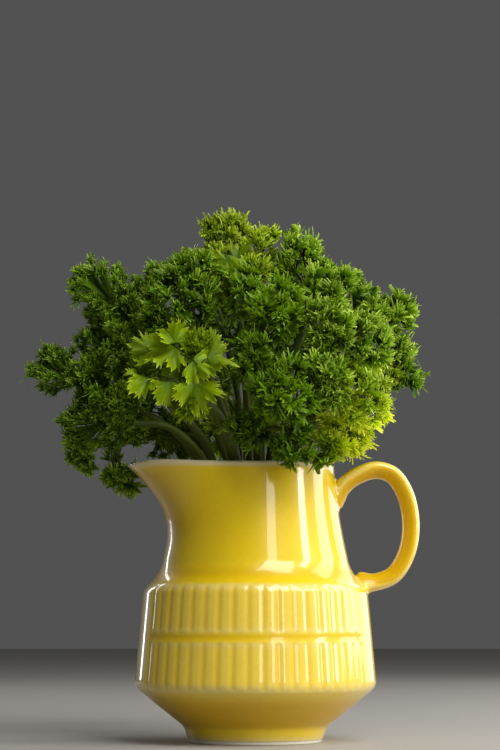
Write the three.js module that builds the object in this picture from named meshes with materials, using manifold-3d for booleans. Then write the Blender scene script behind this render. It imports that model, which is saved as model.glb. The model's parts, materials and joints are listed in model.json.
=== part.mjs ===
// A bunch of curly parsley that stands in a small glazed pouring jug.
// Millimetres, +Z up. The origin is the centre of the jug's foot, on the surface that it stands on.
// The pouring lip points to -X, the handle to +X and the front of the bunch to -Y.

import * as THREE from "three";
import { mergeVertices } from "three/addons/utils/BufferGeometryUtils.js";
import Module from "manifold-3d";

const wasm = await Module();
wasm.setup();

// ---- Driving dimensions ----

const jugHeight = 126.8;
const footRadius = 30.5;
const footHeight = 6;
const bellyRadius = 55.4;      // the widest place, at the foot of the fluted belt
const beltFoot = 25.6;         // height of the belt's lower edge
const beltTop = 69;            // height of the belt's upper edge
const beltTopRadius = 52;
const shoulderTop = 84;        // where the shoulder has swept in to the neck
const neckFootRadius = 42.7;
const mouthRadius = 36.6;
const waistHeight = 106;       // height of the point that draws the neck's sides inwards
const rimRound = 1.4;          // height of the rim's rounded edge
const edgeRound = 3.2;         // height that the rounding above the belt's lower edge takes up
const wall = 3.2;
const floorHeight = 6.4;
const jugSides = 40;
const curvePoints = 3;         // points in each curve of the outline

const lipStart = 90;           // height where the pouring lip begins to leave the neck
const lipReach = 23.7;         // how far the lip reaches beyond the round mouth
const lipRise = 1.2;           // how far the rim rises on both sides of the lip
const lipFullness = 0.25;      // how much the lip widens on its way to the mouth's sides

const handleDepth = 8.6;       // thickness, measured out from the jug
const handleWidth = 14;        // front to back
const handleRoute = [
  [35.6, 110.5], [41.5, 118.2], [49, 123], [57, 124.9], [64.6, 121.5],
  [70, 112], [72, 99.5], [70.2, 87], [64.5, 77], [56.6, 73.2], [47, 72.6],
];
const handleCorners = 5;       // points in a quarter of the handle's section
const handleSteps = 22;

const clearance = 0.35;        // gap between pieces that touch
const jugGap = 0.65;           // gap between the leaf heads and the jug
const stemSides = 6;
const stemSteps = 7;
const stemSpacing = 7.4;       // nearest that two stalks stand to each other at the jug's mouth
const mouthRoom = 27;          // furthest that a stalk's middle stands from the jug's axis at the mouth
const mouthShareX = 0.3;       // how far from the axis a stalk passes the mouth, as a share of its head's
const mouthShareY = 0.36;
const crownMiddle = 182;       // middle height of the leaf heads
const lowSprigs = 160;         // the smaller, the further out the low sprigs pass the mouth
const spreadRounds = 60;       // most rounds of pushing the stalks apart
const floorGather = 0.66;      // the stalks stand closer together on the floor than at the mouth
const stalkFoot = floorHeight + 1;
const collarHeight = jugHeight + 2;      // where the stalks are held by the mouth
const lowestFork = jugHeight + 12;
const forkShare = 0.78;        // how far along from the mouth to its head a stalk forks
const archShare = 0.08;        // how far a stalk's arc rises, as a share of its length above the mouth
const droopBelow = 172;        // sprigs whose fork lies lower than this arch over before they hang
const droopShare = 0.16;
const forkRadius = 2.6;
const forkGap = 0.85;          // gap between a stalk's end and its fork's middle ball
const branchRadius = 1.3;
const tuftDetail = 1;          // how finely a tuft's ball is divided
const tuftFullness = 1.14;     // tufts press together: each is this much fuller than its own radius
const tuftRipple = 0.09;       // how deep a tuft's lumps are
const tuftReach = 1.5;         // tufts further apart than this many radii don't press on each other

// One row for each sprig: the stalk's radius, how green its leaf is, then the middle and radius of each
// tuft of leaf that it carries. They go from the crown down and round the front, then the back, and last
// the heart of the bunch.
const sprigs = [
  { stalk: 1.6, green: "lime", tufts: [[-12, 0, 230, 14], [3, -12, 221, 12]] },
  { stalk: 1.7, green: "mid", tufts: [[21, -16, 216, 16], [33, -30, 203, 13]] },
  { stalk: 1.6, green: "mid", tufts: [[43, 6, 212, 15], [56, -8, 201, 12]] },
  { stalk: 1.6, green: "mid", tufts: [[60, -6, 196, 13], [61, 6, 180, 12]] },
  { stalk: 1.5, green: "dark", tufts: [[67, 10, 165, 10], [54, 2, 163, 12]] },
  { stalk: 1.7, green: "mid", tufts: [[45, -38, 178, 15], [30, -53, 183, 13]] },
  { stalk: 1.7, green: "mid", tufts: [[44, -46, 154, 14], [28, -62, 159, 13]] },
  { stalk: 1.5, green: "lime", tufts: [[41, -12, 142, 11], [40, -33, 140, 11]] },
  { stalk: 1.7, green: "mid", tufts: [[13, -68, 154, 14], [-1, -60, 170, 12]] },
  { stalk: 1.5, green: "dark", tufts: [[0, -47, 140, 10], [17, -52, 135, 11], [31, -46, 132, 10]] },
  { stalk: 1.7, green: "mid", tufts: [[9, -50, 189, 15], [-6, -42, 200, 12]] },
  { stalk: 1.8, green: "dark", tufts: [[-27, -42, 203, 15], [-41, -47, 190, 14]] },
  { stalk: 1.5, green: "mid", tufts: [[-46, -10, 216, 12], [-32, -6, 222, 11]] },
  { stalk: 1.5, green: "lime", tufts: [[-15, -24, 214, 12], [-2, -30, 211, 10]] },
  { stalk: 2.6, green: "lime", tufts: [[-23, -72, 172, 12], [-46, -65, 164, 12], [-29, -73, 149, 11]] },
  { stalk: 1.6, green: "dark", tufts: [[-72, -14, 208, 13], [-58, -24, 199, 12]] },
  { stalk: 2.1, green: "dark", tufts: [[-60, -34, 178, 13], [-75, -8, 187, 11]] },
  { stalk: 1.5, green: "dark", tufts: [[-95, -6, 172, 11], [-81, -19, 165, 11]] },
  { stalk: 1.6, green: "dark", tufts: [[-80, -16, 147, 11], [-66, -36, 152, 11]] },
  { stalk: 1.4, green: "mid", tufts: [[-84, 8, 131, 10], [-66, 19, 122, 11], [-60, 6, 143, 11]] },
  { stalk: 1.7, green: "dark", tufts: [[-60, 26, 160, 14], [-38, 24, 141, 12]] },
  { stalk: 1.7, green: "dark", tufts: [[-62, 22, 194, 15], [-44, 44, 190, 14]] },
  { stalk: 1.6, green: "mid", tufts: [[-24, 32, 218, 14], [-10, 52, 202, 14]] },
  { stalk: 1.7, green: "mid", tufts: [[19, 30, 215, 14], [33, 48, 196, 14]] },
  { stalk: 1.6, green: "mid", tufts: [[54, 38, 178, 14], [49, 30, 152, 12]] },
  { stalk: 1.6, green: "dark", tufts: [[12, 66, 176, 15], [34, 56, 158, 13]] },
  { stalk: 1.6, green: "mid", tufts: [[-24, 64, 172, 15], [-18, 50, 148, 13], [-6, 30, 146, 12]] },
  { stalk: 1.8, green: "dark", tufts: [[4, 4, 190, 16], [-30, 2, 184, 14], [34, 2, 180, 14]] },
];

// ---- Solids: booleans on closed meshes ----

function toSolid(geometry) {
  const bare = geometry.clone();
  bare.deleteAttribute("normal");
  bare.deleteAttribute("uv");
  const merged = mergeVertices(bare, 1e-4);
  const corners = merged.index.array;
  const kept = [];
  for (let i = 0; i < corners.length; i += 3) {
    const [a, b, c] = corners.slice(i, i + 3);
    if (a !== b && b !== c && c !== a) kept.push(a, b, c);
  }
  return new wasm.Manifold(new wasm.Mesh({
    numProp: 3,
    vertProperties: new Float32Array(merged.getAttribute("position").array),
    triVerts: new Uint32Array(kept),
  }));
}

function toGeometry(solid) {
  const mesh = solid.getMesh();
  const geometry = new THREE.BufferGeometry();
  geometry.setAttribute("position", new THREE.BufferAttribute(mesh.vertProperties, mesh.numProp));
  geometry.setIndex(new THREE.BufferAttribute(mesh.triVerts, 1));
  geometry.computeVertexNormals();
  return geometry;
}

function largestBody(solid) {
  const bodies = solid.decompose();
  return bodies.reduce((best, body) => (body.volume() > best.volume() ? body : best));
}

// ---- The jug ----

// The outer outline, from the axis under the foot to the mouth; grow makes it larger all round.
function outerOutline(outline, grow = 0) {
  const rimFoot = jugHeight - rimRound;
  outline.moveTo(0, -grow);
  outline.lineTo(footRadius + grow, -grow);
  outline.lineTo(footRadius + 1.8 + grow, footHeight - 1);
  outline.quadraticCurveTo(footRadius + 2.2 + grow, footHeight + 1, footRadius + 4 + grow, footHeight + 2.4);
  outline.lineTo(bellyRadius - 1.9 + grow, beltFoot - 2.2);
  outline.quadraticCurveTo(bellyRadius + 0.4 + grow, beltFoot, bellyRadius + grow, beltFoot + edgeRound);
  outline.lineTo(beltTopRadius + grow, beltTop - 2);
  outline.quadraticCurveTo(beltTopRadius + grow, beltTop + 0.6, beltTopRadius - 2.6 + grow, beltTop + 3);
  outline.quadraticCurveTo(neckFootRadius + 1 + grow, beltTop + 8, neckFootRadius + grow, shoulderTop);
  outline.quadraticCurveTo(mouthRadius + 1.2 + grow, waistHeight, mouthRadius + grow, rimFoot);
}

function innerOutline(outline) {
  outline.lineTo(mouthRadius - wall, jugHeight - rimRound);
  outline.quadraticCurveTo(mouthRadius + 1.2 - wall, waistHeight, neckFootRadius - wall, shoulderTop);
  outline.quadraticCurveTo(neckFootRadius + 0.4 - wall, beltTop + 6, beltTopRadius - 6, beltTop);
  outline.lineTo(bellyRadius - 4.2, beltFoot + edgeRound);
  outline.quadraticCurveTo(bellyRadius - 4, beltFoot + 1, bellyRadius - 6.2, beltFoot - 0.6);
  outline.lineTo(footRadius + 0.6, floorHeight + 3);
  outline.quadraticCurveTo(footRadius - 2, floorHeight, footRadius - 6, floorHeight);
  outline.lineTo(0, floorHeight);
}

// How strongly a point at (x, y) is drawn out into the lip: 1 at its tip, 0 on the handle's side.
function lipShare(x, y) {
  const towards = Math.max(0, -x / Math.max(Math.hypot(x, y), 1e-6));
  return towards * (1 + lipFullness * (1 - towards * towards));
}

function drawOutLip(geometry) {
  const place = geometry.getAttribute("position");
  for (let i = 0; i < place.count; i += 1) {
    const height = Math.max(0, (place.getZ(i) - lipStart) / (jugHeight - lipStart));
    const share = Math.min(1, lipShare(place.getX(i), place.getY(i)));
    place.setX(i, place.getX(i) - lipReach * height ** 2 * share);
    place.setZ(i, place.getZ(i) + lipRise * height ** 6 * Math.sin(Math.PI * share ** 3));
  }
  return geometry;
}

function turned(outline) {
  const lathe = new THREE.LatheGeometry(outline.getPoints(curvePoints), jugSides);
  lathe.rotateX(Math.PI / 2);
  return toSolid(drawOutLip(lathe));
}

function vesselSolid() {
  const outline = new THREE.Path();
  outerOutline(outline);
  outline.quadraticCurveTo(mouthRadius, jugHeight, mouthRadius - wall / 2, jugHeight);
  outline.quadraticCurveTo(mouthRadius - wall, jugHeight, mouthRadius - wall, jugHeight - rimRound);
  innerOutline(outline);
  return turned(outline);
}

// The space that the jug's body takes up, filled in and grown by a gap.
function filledVessel(grow) {
  const outline = new THREE.Path();
  outerOutline(outline, grow);
  outline.lineTo(mouthRadius + grow, jugHeight + grow);
  outline.lineTo(0, jugHeight + grow);
  return turned(outline);
}

// The handle's strap, run on into the wall at both of its ends.
function strapSolid(grow = 0) {
  const route = new THREE.CatmullRomCurve3(handleRoute.map(([x, z]) => new THREE.Vector3(x, 0, z)));
  const section = new THREE.Shape();
  section.absellipse(0, 0, handleWidth / 2 + grow, handleDepth / 2 + grow, 0, 2 * Math.PI);
  return toSolid(new THREE.ExtrudeGeometry(section, {
    curveSegments: handleCorners,
    steps: handleSteps,
    extrudePath: route,
    bevelEnabled: false,
  }));
}

function handleSolid() {
  return largestBody(strapSolid().subtract(filledVessel(clearance)));
}

// ---- The parsley ----

const middleOf = (tufts) => {
  const sum = new THREE.Vector3();
  for (const [x, y, z] of tufts) sum.add(new THREE.Vector3(x, y, z));
  return sum.divideScalar(tufts.length);
};

// Where each stalk passes the mouth: on its own sprig's side, the low sprigs further out than the high
// ones, and spread until none is too near another.
function mouthPlaces() {
  const places = sprigs.map(({ tufts }) => {
    const middle = middleOf(tufts);
    const outwards = 1 + (crownMiddle - middle.z) / lowSprigs;
    return new THREE.Vector2(middle.x * mouthShareX * outwards, middle.y * mouthShareY * outwards);
  });
  for (let round = 0; round < spreadRounds; round += 1) {
    for (let i = 0; i < places.length; i += 1) {
      for (let j = i + 1; j < places.length; j += 1) {
        const apart = places[j].clone().sub(places[i]);
        const short = stemSpacing - apart.length();
        if (short <= 0) continue;
        apart.normalize().multiplyScalar(short / 2);
        places[j].add(apart);
        places[i].sub(apart);
      }
    }
    for (const place of places) place.clampLength(0, mouthRoom);
  }
  return places;
}

// The stalk's line: up from the floor, through the mouth, then out in an arc to the fork.
function stalkRoute(mouth, fork) {
  const foot = new THREE.Vector3(mouth.x * floorGather, mouth.y * floorGather, stalkFoot);
  const collar = new THREE.Vector3(mouth.x, mouth.y, collarHeight);
  const knee = collar.clone().lerp(fork, 0.5);
  knee.z += collar.distanceTo(fork) * archShare + Math.max(0, droopBelow - fork.z) * droopShare;
  return new THREE.CatmullRomCurve3([foot, collar, knee, fork], false, "centripetal");
}

function tube(route, radius, steps) {
  const section = new THREE.Shape();
  for (let i = 0; i < stemSides; i += 1) {
    const turn = (i / stemSides) * 2 * Math.PI;
    const corner = [radius * Math.cos(turn), radius * Math.sin(turn)];
    if (i === 0) section.moveTo(...corner);
    else section.lineTo(...corner);
  }
  section.closePath();
  return new THREE.ExtrudeGeometry(section, { steps, extrudePath: route, bevelEnabled: false });
}

// A tuft is a lumpy ball. Where it meets a tuft of another sprig, both stop short of the plane between.
function tuftSolid(tuft, sprigIndex) {
  const [x, y, z, radius] = tuft;
  const centre = new THREE.Vector3(x, y, z);
  const walls = [];
  sprigs.forEach((other, otherIndex) => {
    if (otherIndex === sprigIndex) return;
    for (const [ox, oy, oz, otherRadius] of other.tufts) {
      const towards = new THREE.Vector3(ox, oy, oz).sub(centre);
      const distance = towards.length();
      if (distance > tuftReach * (radius + otherRadius)) continue;
      const share = (distance ** 2 + radius ** 2 - otherRadius ** 2) / (2 * distance);
      walls.push({ normal: towards.divideScalar(distance), reach: Math.max(1, share - clearance / 2) });
    }
  });
  const ball = new THREE.IcosahedronGeometry(1, tuftDetail);
  const place = ball.getAttribute("position");
  const direction = new THREE.Vector3();
  for (let i = 0; i < place.count; i += 1) {
    direction.fromBufferAttribute(place, i).normalize();
    const ripple = Math.sin(5.1 * direction.x + x) * Math.sin(4.7 * direction.y + y)
      + Math.sin(5.3 * direction.z + z) * Math.cos(4.4 * direction.x - y);
    let reach = radius * (tuftFullness + tuftRipple * ripple);
    for (const { normal, reach: limit } of walls) {
      const along = direction.dot(normal);
      if (along > 0) reach = Math.min(reach, limit / along);
    }
    place.setXYZ(i, x + direction.x * reach, y + direction.y * reach, z + direction.z * reach);
  }
  return toSolid(ball);
}

const mouths = mouthPlaces();

const plants = sprigs.map(({ stalk, tufts }, index) => {
  const middle = middleOf(tufts);
  const collar = new THREE.Vector3(mouths[index].x, mouths[index].y, collarHeight);
  const fork = collar.clone().lerp(middle, forkShare);
  fork.z = Math.max(fork.z, lowestFork);
  const route = stalkRoute(mouths[index], fork);
  const rootwards = route.getTangent(1).multiplyScalar(forkRadius + forkGap);
  return { stalk, tufts, route, hub: fork.clone().add(rootwards) };
});

function branchRoute(hub, [x, y, z]) {
  return new THREE.LineCurve3(hub, new THREE.Vector3(x, y, z));
}

// The fork and side branches of a sprig; grow leaves room around them for its neighbours.
function branchSolid(plant, grow = 0) {
  const knot = new THREE.IcosahedronGeometry(forkRadius + grow, 1);
  knot.translate(plant.hub.x, plant.hub.y, plant.hub.z);
  let solid = toSolid(knot);
  for (const tuft of plant.tufts) {
    solid = solid.add(toSolid(tube(branchRoute(plant.hub, tuft), branchRadius + grow, 1)));
  }
  return solid;
}

function stalkSolid(plant, grow = 0) {
  return toSolid(tube(plant.route, plant.stalk + grow, stemSteps));
}

const near = (a, b) => {
  const boxA = a.boundingBox();
  const boxB = b.boundingBox();
  return [0, 1, 2].every((k) => boxA.min[k] < boxB.max[k] && boxB.min[k] < boxA.max[k]);
};

function leafHeads() {
  const jugRoom = filledVessel(jugGap).add(strapSolid(jugGap));
  const sleeves = plants.map((plant) => stalkSolid(plant, clearance));
  const branchRoom = plants.map((plant) => branchSolid(plant, clearance));
  return plants.map((plant, index) => {
    let head = plant.tufts.map((tuft) => tuftSolid(tuft, index)).reduce((all, tuft) => all.add(tuft));
    if (near(head, jugRoom)) head = head.subtract(jugRoom);
    branchRoom.forEach((room, other) => {
      if (other !== index && near(head, room)) head = head.subtract(room);
    });
    head = head.add(branchSolid(plant));
    for (const sleeve of sleeves) {
      if (near(head, sleeve)) head = head.subtract(sleeve);
    }
    return largestBody(head);
  });
}

// ---- Materials and the assembled bunch ----

const finish = (color, roughness) => new THREE.MeshStandardMaterial({ color, roughness, metalness: 0 });
const glaze = finish(0xd9b42a, 0.12);
const stalkGreen = finish(0x6f8f2e, 0.5);
const leafGreens = {
  dark: finish(0x3b5c12, 0.5),
  mid: finish(0x54791a, 0.5),
  lime: finish(0x7d9c2c, 0.45),
};

const bunch = new THREE.Group();

function addPiece(name, geometry, material) {
  const piece = new THREE.Mesh(geometry, material);
  piece.name = name;
  bunch.add(piece);
}

addPiece("jug", toGeometry(vesselSolid()), glaze);
addPiece("jug_handle", toGeometry(handleSolid()), glaze);
leafHeads().forEach((head, index) => {
  const number = String(index + 1).padStart(2, "0");
  addPiece(`stem_${number}`, toGeometry(stalkSolid(plants[index])), stalkGreen);
  addPiece(`leaves_${number}`, toGeometry(head), leafGreens[sprigs[index].green]);
});

export default bunch;
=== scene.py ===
import json
import math
import bmesh
import bpy
import numpy as np
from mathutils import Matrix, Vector
from mathutils.bvhtree import BVHTree
from mathutils.kdtree import KDTree


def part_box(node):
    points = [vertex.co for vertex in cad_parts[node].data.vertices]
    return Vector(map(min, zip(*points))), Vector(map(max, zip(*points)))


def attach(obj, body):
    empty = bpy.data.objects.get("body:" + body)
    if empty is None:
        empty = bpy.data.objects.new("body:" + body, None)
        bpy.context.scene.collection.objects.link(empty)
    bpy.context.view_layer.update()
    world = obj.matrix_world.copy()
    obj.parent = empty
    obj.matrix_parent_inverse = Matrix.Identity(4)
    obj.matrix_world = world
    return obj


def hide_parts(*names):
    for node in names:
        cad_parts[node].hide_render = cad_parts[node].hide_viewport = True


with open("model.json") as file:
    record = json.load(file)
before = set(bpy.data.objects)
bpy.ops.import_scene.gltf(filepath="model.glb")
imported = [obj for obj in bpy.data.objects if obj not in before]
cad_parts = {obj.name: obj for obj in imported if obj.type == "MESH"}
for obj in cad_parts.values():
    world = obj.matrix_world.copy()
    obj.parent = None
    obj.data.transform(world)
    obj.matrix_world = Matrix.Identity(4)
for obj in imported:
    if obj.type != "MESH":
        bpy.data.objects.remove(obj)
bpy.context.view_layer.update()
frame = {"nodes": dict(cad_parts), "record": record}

mm = 0.001
fullTurn = 6.28                  # radians, for waves and their random starts
goldenTurn = 2.39996             # radians from each lobe of a curl to the next
tiny = 1e-6
slotOf = {row["node"]: row["material_slot"] for row in frame["record"]["subparts"]}
stalkNodes = sorted(name for name in frame["nodes"] if name.startswith("stem_"))
headNodes = sorted(name for name in frame["nodes"] if name.startswith("leaves_"))


# Small helpers

def pick(values, names):
    return [values[name] for name in names.split()]


def unit(vectors):
    return vectors / np.maximum(np.linalg.norm(vectors, axis=-1, keepdims=True), 1e-9)


def smoothStep(value, start, end):
    share = np.clip((value - start) / (end - start), 0, 1)
    return share * share * (3 - 2 * share)


# A smooth curve through the points, with the same number of steps in every span.
def smoothPath(points, perSpan):
    points = np.asarray(points, float)
    first = 2 * points[0] - points[1]
    last = 2 * points[-1] - points[-2]
    held = np.vstack([first, points, last])
    share = np.linspace(0, 1, perSpan, endpoint=False)[:, None]
    path = []
    for a, b, c, d in zip(held[:-3], held[1:-2], held[2:-1], held[3:]):
        bend = 2 * a - 5 * b + 4 * c - d
        twist = 3 * b - a - 3 * c + d
        path.append(b + 0.5 * (share * (c - a) + share**2 * bend + share**3 * twist))
    return np.vstack(path + [points[-1:]])


def vertexPlaces(mesh):
    places = np.empty(len(mesh.vertices) * 3)
    mesh.vertices.foreach_get("co", places)
    return places.reshape(-1, 3)


def newObject(name, mesh, *materials):
    piece = bpy.data.objects.new(name, mesh)
    bpy.context.scene.collection.objects.link(piece)
    for material in materials:
        mesh.materials.append(material)
    return piece


def setAttribute(mesh, name, values):
    if name not in mesh.attributes:
        mesh.attributes.new(name, "FLOAT_COLOR", "POINT")
    mesh.attributes[name].data.foreach_set("color", np.asarray(values, np.float32).ravel())


def openMesh(mesh):
    bm = bmesh.new()
    bm.from_mesh(mesh)
    return bm


def closeMesh(bm, mesh):
    bm.to_mesh(mesh)
    bm.free()
    return mesh


# One grid cut into equal patches, which are then moved to their places. points is (patches, rows, columns, 3)
# and tones the same with four values. Each patch gets a square of its own in the map. From the row slitRow
# on, only the middle one of every three columns of faces is kept, so that it stands free as a finger.
def patchMesh(name, points, tones, attribute="leafTone", closed=False, slitRow=None):
    count, rows, columns = points.shape[:3]
    bm = bmesh.new()
    bmesh.ops.create_grid(bm, x_segments=columns - 1, y_segments=count * rows - 1, size=1)
    bm.verts.ensure_lookup_table()
    for index, vert in enumerate(bm.verts):
        vert.index = index
    cuts = []
    for face in bm.faces:
        row, column = divmod(min(vert.index for vert in face.verts), columns)
        row = row % rows
        if row == rows - 1 or (slitRow is not None and row >= slitRow and column % 3 != 1):
            cuts.append(face)
    bmesh.ops.delete(bm, geom=cuts, context="FACES_ONLY")
    between = [edge for edge in bm.edges if not edge.link_faces]
    bmesh.ops.delete(bm, geom=between, context="EDGES_FACES")
    mesh = closeMesh(bm, bpy.data.meshes.new(name))
    mesh.vertices.foreach_set("co", points.ravel())
    setAttribute(mesh, attribute, tones.reshape(-1, 4))
    layMap(mesh, count, rows, columns)
    bm = openMesh(mesh)
    if slitRow is not None:
        bmesh.ops.delete(bm, geom=[vert for vert in bm.verts if not vert.link_faces], context="VERTS")
    if closed:
        bmesh.ops.remove_doubles(bm, verts=bm.verts, dist=1e-7)
        bmesh.ops.holes_fill(bm, edges=bm.edges, sides=columns)
        bmesh.ops.recalc_face_normals(bm, faces=bm.faces)
    closeMesh(bm, mesh)
    mesh.polygons.foreach_set("use_smooth", [True] * len(mesh.polygons))
    mesh.update()
    return mesh


def layMap(mesh, count, rows, columns):
    side = math.ceil(math.sqrt(count))
    patch = np.arange(count)[:, None, None]
    edge, inner = 0.05, 0.9      # parts of a patch's square
    u = (patch % side + edge + inner * np.linspace(0, 1, columns)[None, None, :]) / side
    v = (patch // side + edge + inner * np.linspace(0, 1, rows)[None, :, None]) / side
    spots = np.stack(np.broadcast_arrays(u, v), -1).reshape(-1, 2)
    corners = np.empty(len(mesh.loops), np.int32)
    mesh.loops.foreach_get("vertex_index", corners)
    mesh.uv_layers.new(name="OFBake").data.foreach_set("uv", spots[corners].ravel())


# Materials and the shader group that they use

# Each socket is linked, where it is given another node's output, or set.
def setSockets(tree, node, sockets):
    for name, value in sockets.items():
        if isinstance(value, bpy.types.NodeSocket):
            tree.links.new(value, node.inputs[name])
        else:
            node.inputs[name].default_value = value


def addNode(tree, kind, sockets, **settings):
    node = tree.nodes.new(kind)
    for name, value in settings.items():
        setattr(node, name, value)
    setSockets(tree, node, sockets)
    return node


def addMath(tree, operation, *values):
    return addNode(tree, "ShaderNodeMath", dict(enumerate(values)), operation=operation).outputs[0]


def addMix(tree, share, first, second):
    return addNode(tree, "ShaderNodeMix", {"Factor": share, 6: first, 7: second}, data_type="RGBA").outputs[2]


def addRange(tree, value, atLeast, atMost, highest=1.0):
    sockets = {"Value": value, "From Max": highest, "To Min": atLeast, "To Max": atMost}
    return addNode(tree, "ShaderNodeMapRange", sockets).outputs["Result"]


def addRamp(tree, value, colours, positions):
    ramp = addNode(tree, "ShaderNodeValToRGB", {"Fac": value})
    elements = ramp.color_ramp.elements
    while len(elements) < len(positions):
        elements.new(0.5)
    for element, colour, position in zip(elements, colours, positions):
        element.position = position
        element.color = (*colour, 1)
    return ramp.outputs["Color"]


def addNoise(tree, scale, detail=2.0):
    place = tree.nodes.new("ShaderNodeTexCoord").outputs["Object"]
    sockets = {"Vector": place, "Scale": scale, "Detail": detail}
    return addNode(tree, "ShaderNodeTexNoise", sockets).outputs["Fac"]


def addBump(tree, height, strength, distance):
    sockets = {"Height": height, "Strength": strength, "Distance": distance}
    return addNode(tree, "ShaderNodeBump", sockets).outputs["Normal"]


# The four values that a mesh's tones hold.
def readAttribute(tree, name):
    attribute = addNode(tree, "ShaderNodeAttribute", {}, attribute_name=name)
    parts = addNode(tree, "ShaderNodeSeparateColor", {"Color": attribute.outputs["Color"]})
    return (*parts.outputs, attribute.outputs["Alpha"])


def newMaterial(name):
    material = bpy.data.materials.new(name)
    material.use_nodes = True
    return material, material.node_tree, material.node_tree.nodes["Principled BSDF"]


# Soft blotches that make a colour a little lighter and darker, with a fine height for bump.
def makeMottle():
    group = bpy.data.node_groups.new("mottle", "ShaderNodeTree")
    for side, names in (("INPUT", ("Color", "Coarse", "Fine", "Amount")), ("OUTPUT", ("Color", "Height"))):
        for name in names:
            kind = "NodeSocketColor" if name == "Color" else "NodeSocketFloat"
            group.interface.new_socket(name, in_out=side, socket_type=kind)
    given = group.nodes.new("NodeGroupInput").outputs
    coarse, fine = addNoise(group, given["Coarse"]), addNoise(group, given["Fine"])
    centred = addMath(group, "SUBTRACT", addMath(group, "ADD", coarse, fine), 1)
    value = addMath(group, "MULTIPLY_ADD", centred, given["Amount"], 1)
    shade = addNode(group, "ShaderNodeHueSaturation", {"Color": given["Color"], "Value": value})
    addNode(group, "NodeGroupOutput", {"Color": shade.outputs["Color"], "Height": fine})
    return group


mottle = makeMottle()


# The mottled colour and its height.
def addMottle(tree, colour, coarse, fine, amount):
    sockets = {"Color": colour, "Coarse": coarse, "Fine": fine, "Amount": amount}
    node = addNode(tree, "ShaderNodeGroup", sockets, node_tree=mottle)
    return node.outputs["Color"], node.outputs["Height"]


# The camera, the studio and the floor

studio = {
    "cameraPlace": (-0.00255, -1.0, 0.0575),
    "cameraPitch": 6.38,          # degrees up from level
    "lens": 103.3, "sensorHeight": 36,
    "aim": (0, 0, 0.13),          # where the lamps point
    "floorRadius": 2.8, "floorSides": 96, "floorRoughness": 0.55,
    "floorColour": (0.37, 0.35, 0.32, 1),
    "airColour": (0.082, 0.084, 0.082, 1),
}
# turn is measured round from the camera towards its right, rise is the lamp's height above the aim
lamps = {
    "windowLamp": {"turn": 67, "rise": 0.25, "away": 0.80, "size": (0.15, 0.62), "power": 3.4},
    "broadLamp": {"turn": 104, "rise": 0.35, "away": 0.85, "size": (0.45, 0.80), "power": 5.2},
    "sideLamp": {"turn": 138, "rise": 0.25, "away": 0.95, "size": (0.55, 0.90), "power": 2.8},
    "slimLamp": {"turn": 21, "rise": 0.22, "away": 1.00, "size": (0.20, 0.55), "power": 1.6},
    "skyLamp": {"turn": 32, "rise": 0.85, "away": 0.85, "size": (0.75, 0.75), "power": 14.0},
    "rimLamp": {"turn": -140, "rise": 0.20, "away": 0.90, "size": (0.07, 0.60), "power": 0.9},
}


def setCamera():
    data = bpy.data.cameras.new("camera")
    data.sensor_fit = "VERTICAL"
    data.sensor_height = studio["sensorHeight"]
    data.lens = studio["lens"]
    camera = bpy.data.objects.new("camera", data)
    camera.location = studio["cameraPlace"]
    camera.rotation_euler = (math.radians(90 + studio["cameraPitch"]), 0, 0)
    bpy.context.scene.collection.objects.link(camera)
    bpy.context.scene.camera = camera


def setLamps():
    aim = Vector(studio["aim"])
    for name, lamp in lamps.items():
        data = bpy.data.lights.new(name, "AREA")
        data.shape = "RECTANGLE"
        data.size, data.size_y = lamp["size"]
        data.energy = lamp["power"]
        turn = math.radians(lamp["turn"])
        place = aim + Vector((math.sin(turn), -math.cos(turn), 0)) * lamp["away"]
        place.z += lamp["rise"]
        holder = bpy.data.objects.new(name, data)
        holder.location = place
        holder.rotation_euler = (aim - place).to_track_quat("-Z", "Y").to_euler()
        holder.visible_camera = False
        bpy.context.scene.collection.objects.link(holder)
    bpy.context.scene.view_settings.view_transform = "Standard"
    air = bpy.data.worlds.new("air")
    bpy.context.scene.world = air
    air.use_nodes = True
    air.node_tree.nodes["Background"].inputs["Color"].default_value = studio["airColour"]


def layFloor():
    bm = bmesh.new()
    bmesh.ops.create_circle(bm, cap_ends=True, segments=studio["floorSides"], radius=studio["floorRadius"])
    mesh = closeMesh(bm, bpy.data.meshes.new("floor"))
    material, tree, shader = newMaterial("floorPaint")
    setSockets(tree, shader, {"Base Color": studio["floorColour"], "Roughness": studio["floorRoughness"]})
    newObject("floor", mesh, material)


setCamera()
setLamps()
layFloor()
print("studio set")


# The jug

jugShape = {                    # millimetres
    "footInner": 25.5, "footRecess": 1.8, "footRadius": 30.5, "footHeight": 6, "bareClay": 1.5,
    "bellyRadius": 55.4, "beltFoot": 25.6, "beltTop": 69, "beltTopRadius": 52,
    "shoulderTop": 84, "neckRadius": 42.7, "mouthRadius": 36.6, "wall": 3.2, "floor": 6.4,
    "waist": 106,                # height of the control point that hollows the neck
    "rimRound": 1.4, "lipStart": 90, "lipReach": 23.7, "lipRise": 1.2, "lipFullness": 0.25,
    "turns": 400,                # columns round the body, eight to a rib
}
ribs = {                        # millimetres, and parts of the pitch from a rib's middle
    "pitch": math.radians(7.2), "count": 17, "depth": 0.31, "flatShare": 0.22, "valleyShare": 0.46,
    "rows": ((24.2, 46.2), (49.7, 71.5)), "rowFade": 1.3, "paleFade": 0.6,
    # endPale paints a highlight on the rounded ends of the ribs
    "endInset": 1.5, "endReach": 1.2, "endPale": 1.1,
    "grooveMiddle": 47.95, "grooveHalf": 1.5, "grooveDepth": 0.36,
    "bandFoot": 20, "bandTop": 76, "bandDepth": 2.6,
}
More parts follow.
